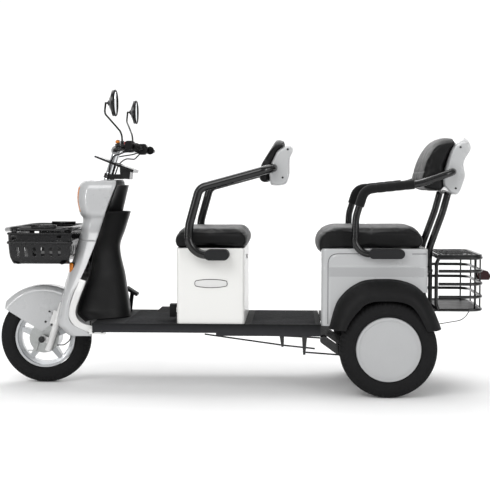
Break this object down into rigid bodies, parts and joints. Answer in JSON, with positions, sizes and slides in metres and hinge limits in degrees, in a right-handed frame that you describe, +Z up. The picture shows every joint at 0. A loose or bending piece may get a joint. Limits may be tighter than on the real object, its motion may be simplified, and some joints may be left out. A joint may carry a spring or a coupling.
{
  "type": "adult tricycle",
  "caption": "Two-seat electric tricycle for adults, with one steered front wheel, a step-through floor, armrests, baskets and a sprung rear axle.",
  "frame": {"origin": "on the ground, at the middle of the overall length and width", "axes": "+Z up, +X towards the rear, so the front wheel is at -X; -Y is the rider's left"},
  "size_m": [2.168, 0.692, 1.2759],
  "materials": {
    "grey_paint": "gloss",
    "grey_moulding": "gloss",
    "white_moulding": "gloss",
    "white_paint": "gloss",
    "black_paint": "satin",
    "black_moulding": "textured",
    "dark_floor": "ribbed",
    "soft_grip": "ribbed",
    "tyre_rubber": "moulded",
    "cast_wheel": "satin",
    "grey_disc": "satin",
    "zinc_steel": "zinc plated",
    "chromed": "polished",
    "seat_vinyl": "vinyl",
    "mirror_face": "silvered",
    "amber_lens": "clear",
    "red_lens": "tinted",
    "cable_sheath": "smooth",
    "battery_case": "moulded"
  },
  "bodies": {
    "chassis": {"headset_bearings": "zinc_steel", "head_tube": "black_paint", "frame_rails": "black_paint", "frame_crossmembers": "black_paint", "rear_subframe": "black_paint", "floor_board": "dark_floor", "front_cowl": "grey_moulding", "headlight_lens": "amber_lens", "front_shield": "grey_moulding", "shield_trim": "white_moulding", "inner_leg_panel": "black_moulding", "front_basket": "black_moulding", "basket_bracket": "black_paint", "front_seat_box": "white_paint", "battery_pack": "battery_case", "front_armrest_frame": "black_paint", "arm_covers": "black_moulding", "front_backrest_shell": "grey_moulding", "front_backrest_pad": "seat_vinyl", "rear_body": "grey_moulding", "rear_armrest_frame": "black_paint", "arm_grips": "soft_grip", "rear_backrest_shell": "grey_moulding", "rear_backrest_pad": "seat_vinyl", "fender_flares": "black_moulding", "rear_basket": "black_paint", "tail_lamp": "red_lens", "brake_rods": "zinc_steel"},
    "steering": {"fork_upper": "chromed", "handlebar_stem": "chromed", "handlebar": "black_paint", "left_grip": "soft_grip", "switch_pods": "black_moulding", "mirror_stems": "black_paint", "dash_panel": "black_moulding", "control_cables": "cable_sheath"},
    "fork_slide": {"fork_sliders": "white_paint", "front_axle": "zinc_steel", "front_brake_cable": "cable_sheath", "front_fender": "grey_moulding"},
    "front_wheel": {"front_tyre": "tyre_rubber", "front_rim": "cast_wheel"},
    "front_brake": {"front_brake_arm": "zinc_steel"},
    "throttle": {"throttle_grip": "soft_grip"},
    "left_lever": {"left_brake_lever": "black_paint"},
    "right_lever": {"right_brake_lever": "black_paint"},
    "left_glass": {"left_mirror": "black_moulding"},
    "right_glass": {"right_mirror": "black_moulding"},
    "front_seat": {"front_seat_cushion": "seat_vinyl"},
    "rear_seat": {"rear_seat_cushion": "seat_vinyl"},
    "lock": {"seat_lock": "zinc_steel"},
    "basket_lid": {"rear_basket_lid": "black_paint"},
    "pedal": {"brake_pedal": "black_moulding"},
    "parking": {"parking_lever": "black_paint"},
    "rear_suspension": {"rear_axle": "black_paint", "rear_shocks": "black_paint"},
    "left_wheel": {"left_rear_tyre": "tyre_rubber", "left_rear_wheel": "grey_disc"},
    "right_wheel": {"right_rear_tyre": "tyre_rubber", "right_rear_wheel": "grey_disc"}
  },
  "joints": [
    {"name": "steering_turn", "type": "hinge", "parent": "chassis", "child": "steering", "pos_m": [-0.698, 0, 0.6], "axis": [0.309, 0, 0.9511], "range_deg": [-35, 35]},
    {"name": "fork_travel", "type": "slide", "parent": "steering", "child": "fork_slide", "axis": [0.309, 0, 0.9511], "range_m": [-0.008, 0.024], "stiffness_N_per_m": 30000, "springref_m": -0.0225},
    {"name": "front_wheel_spin", "type": "hinge", "parent": "fork_slide", "child": "front_wheel", "pos_m": [-0.881, 0, 0.203], "axis": [0, 1, 0], "continuous": true},
    {"name": "front_brake_turn", "type": "hinge", "parent": "fork_slide", "child": "front_brake", "pos_m": [-0.909, -0.056, 0.176], "axis": [0, 1, 0], "range_deg": [0, 12]},
    {"name": "throttle_turn", "type": "hinge", "parent": "steering", "child": "throttle", "pos_m": [-0.457, 0.2, 1.045], "axis": [-0.1483, -0.9884, 0.0329], "range_deg": [0, 60], "stiffness_Nm_per_rad": 0.3},
    {"name": "left_lever_pull", "type": "hinge", "parent": "steering", "child": "left_lever", "pos_m": [-0.5, -0.188, 1.042], "axis": [0, 0, 1], "range_deg": [0, 12], "stiffness_Nm_per_rad": 3},
    {"name": "right_lever_pull", "type": "hinge", "parent": "steering", "child": "right_lever", "pos_m": [-0.5, 0.188, 1.042], "axis": [0, 0, -1], "range_deg": [0, 12], "stiffness_Nm_per_rad": 3},
    {"name": "left_mirror_turn", "type": "hinge", "parent": "steering", "child": "left_glass", "pos_m": [-0.544, -0.292, 1.222], "axis": [0, 0, 1], "range_deg": [-15, 15]},
    {"name": "right_mirror_turn", "type": "hinge", "parent": "steering", "child": "right_glass", "pos_m": [-0.544, 0.292, 1.222], "axis": [0, 0, 1], "range_deg": [-15, 15]},
    {"name": "front_seat_lift", "type": "hinge", "parent": "chassis", "child": "front_seat", "pos_m": [-0.274, 0, 0.617], "axis": [0, -1, 0], "range_deg": [0, 75]},
    {"name": "rear_seat_lift", "type": "hinge", "parent": "chassis", "child": "rear_seat", "pos_m": [0.316, 0, 0.594], "axis": [0, -1, 0], "range_deg": [0, 70]},
    {"name": "seat_lock_turn", "type": "hinge", "parent": "chassis", "child": "lock", "pos_m": [0.019, 0, 0.567], "axis": [1, 0, 0], "range_deg": [0, 90]},
    {"name": "basket_lid_lift", "type": "hinge", "parent": "chassis", "child": "basket_lid", "pos_m": [0.837, 0, 0.5853], "axis": [0, -1, 0], "range_deg": [0, 60]},
    {"name": "brake_pedal_press", "type": "hinge", "parent": "chassis", "child": "pedal", "pos_m": [-0.529, 0.16, 0.309], "axis": [0, -1, 0], "range_deg": [0, 10], "stiffness_Nm_per_rad": 6, "springref_deg": -5.73},
    {"name": "parking_lever_pull", "type": "hinge", "parent": "chassis", "child": "parking", "pos_m": [-0.285, -0.12, 0.343], "axis": [0, -1, 0], "range_deg": [0, 12]},
    {"name": "rear_suspension_swing", "type": "hinge", "parent": "chassis", "child": "rear_suspension", "pos_m": [0.355, 0, 0.224], "axis": [0, 1, 0], "range_deg": [-2, 2], "stiffness_Nm_per_rad": 12000, "springref_deg": 1.66, "deforming": ["rear_shocks"]},
    {"name": "left_wheel_spin", "type": "hinge", "parent": "rear_suspension", "child": "left_wheel", "pos_m": [0.619, -0.289, 0.203], "axis": [0, 1, 0], "continuous": true},
    {"name": "right_wheel_spin", "type": "hinge", "parent": "rear_suspension", "child": "right_wheel", "pos_m": [0.619, 0.289, 0.203], "axis": [0, 1, 0], "continuous": true}
  ],
  "couplings": [
    {"joint": "front_brake_turn", "follows": "right_lever_pull", "ratio": 1}
  ]
}
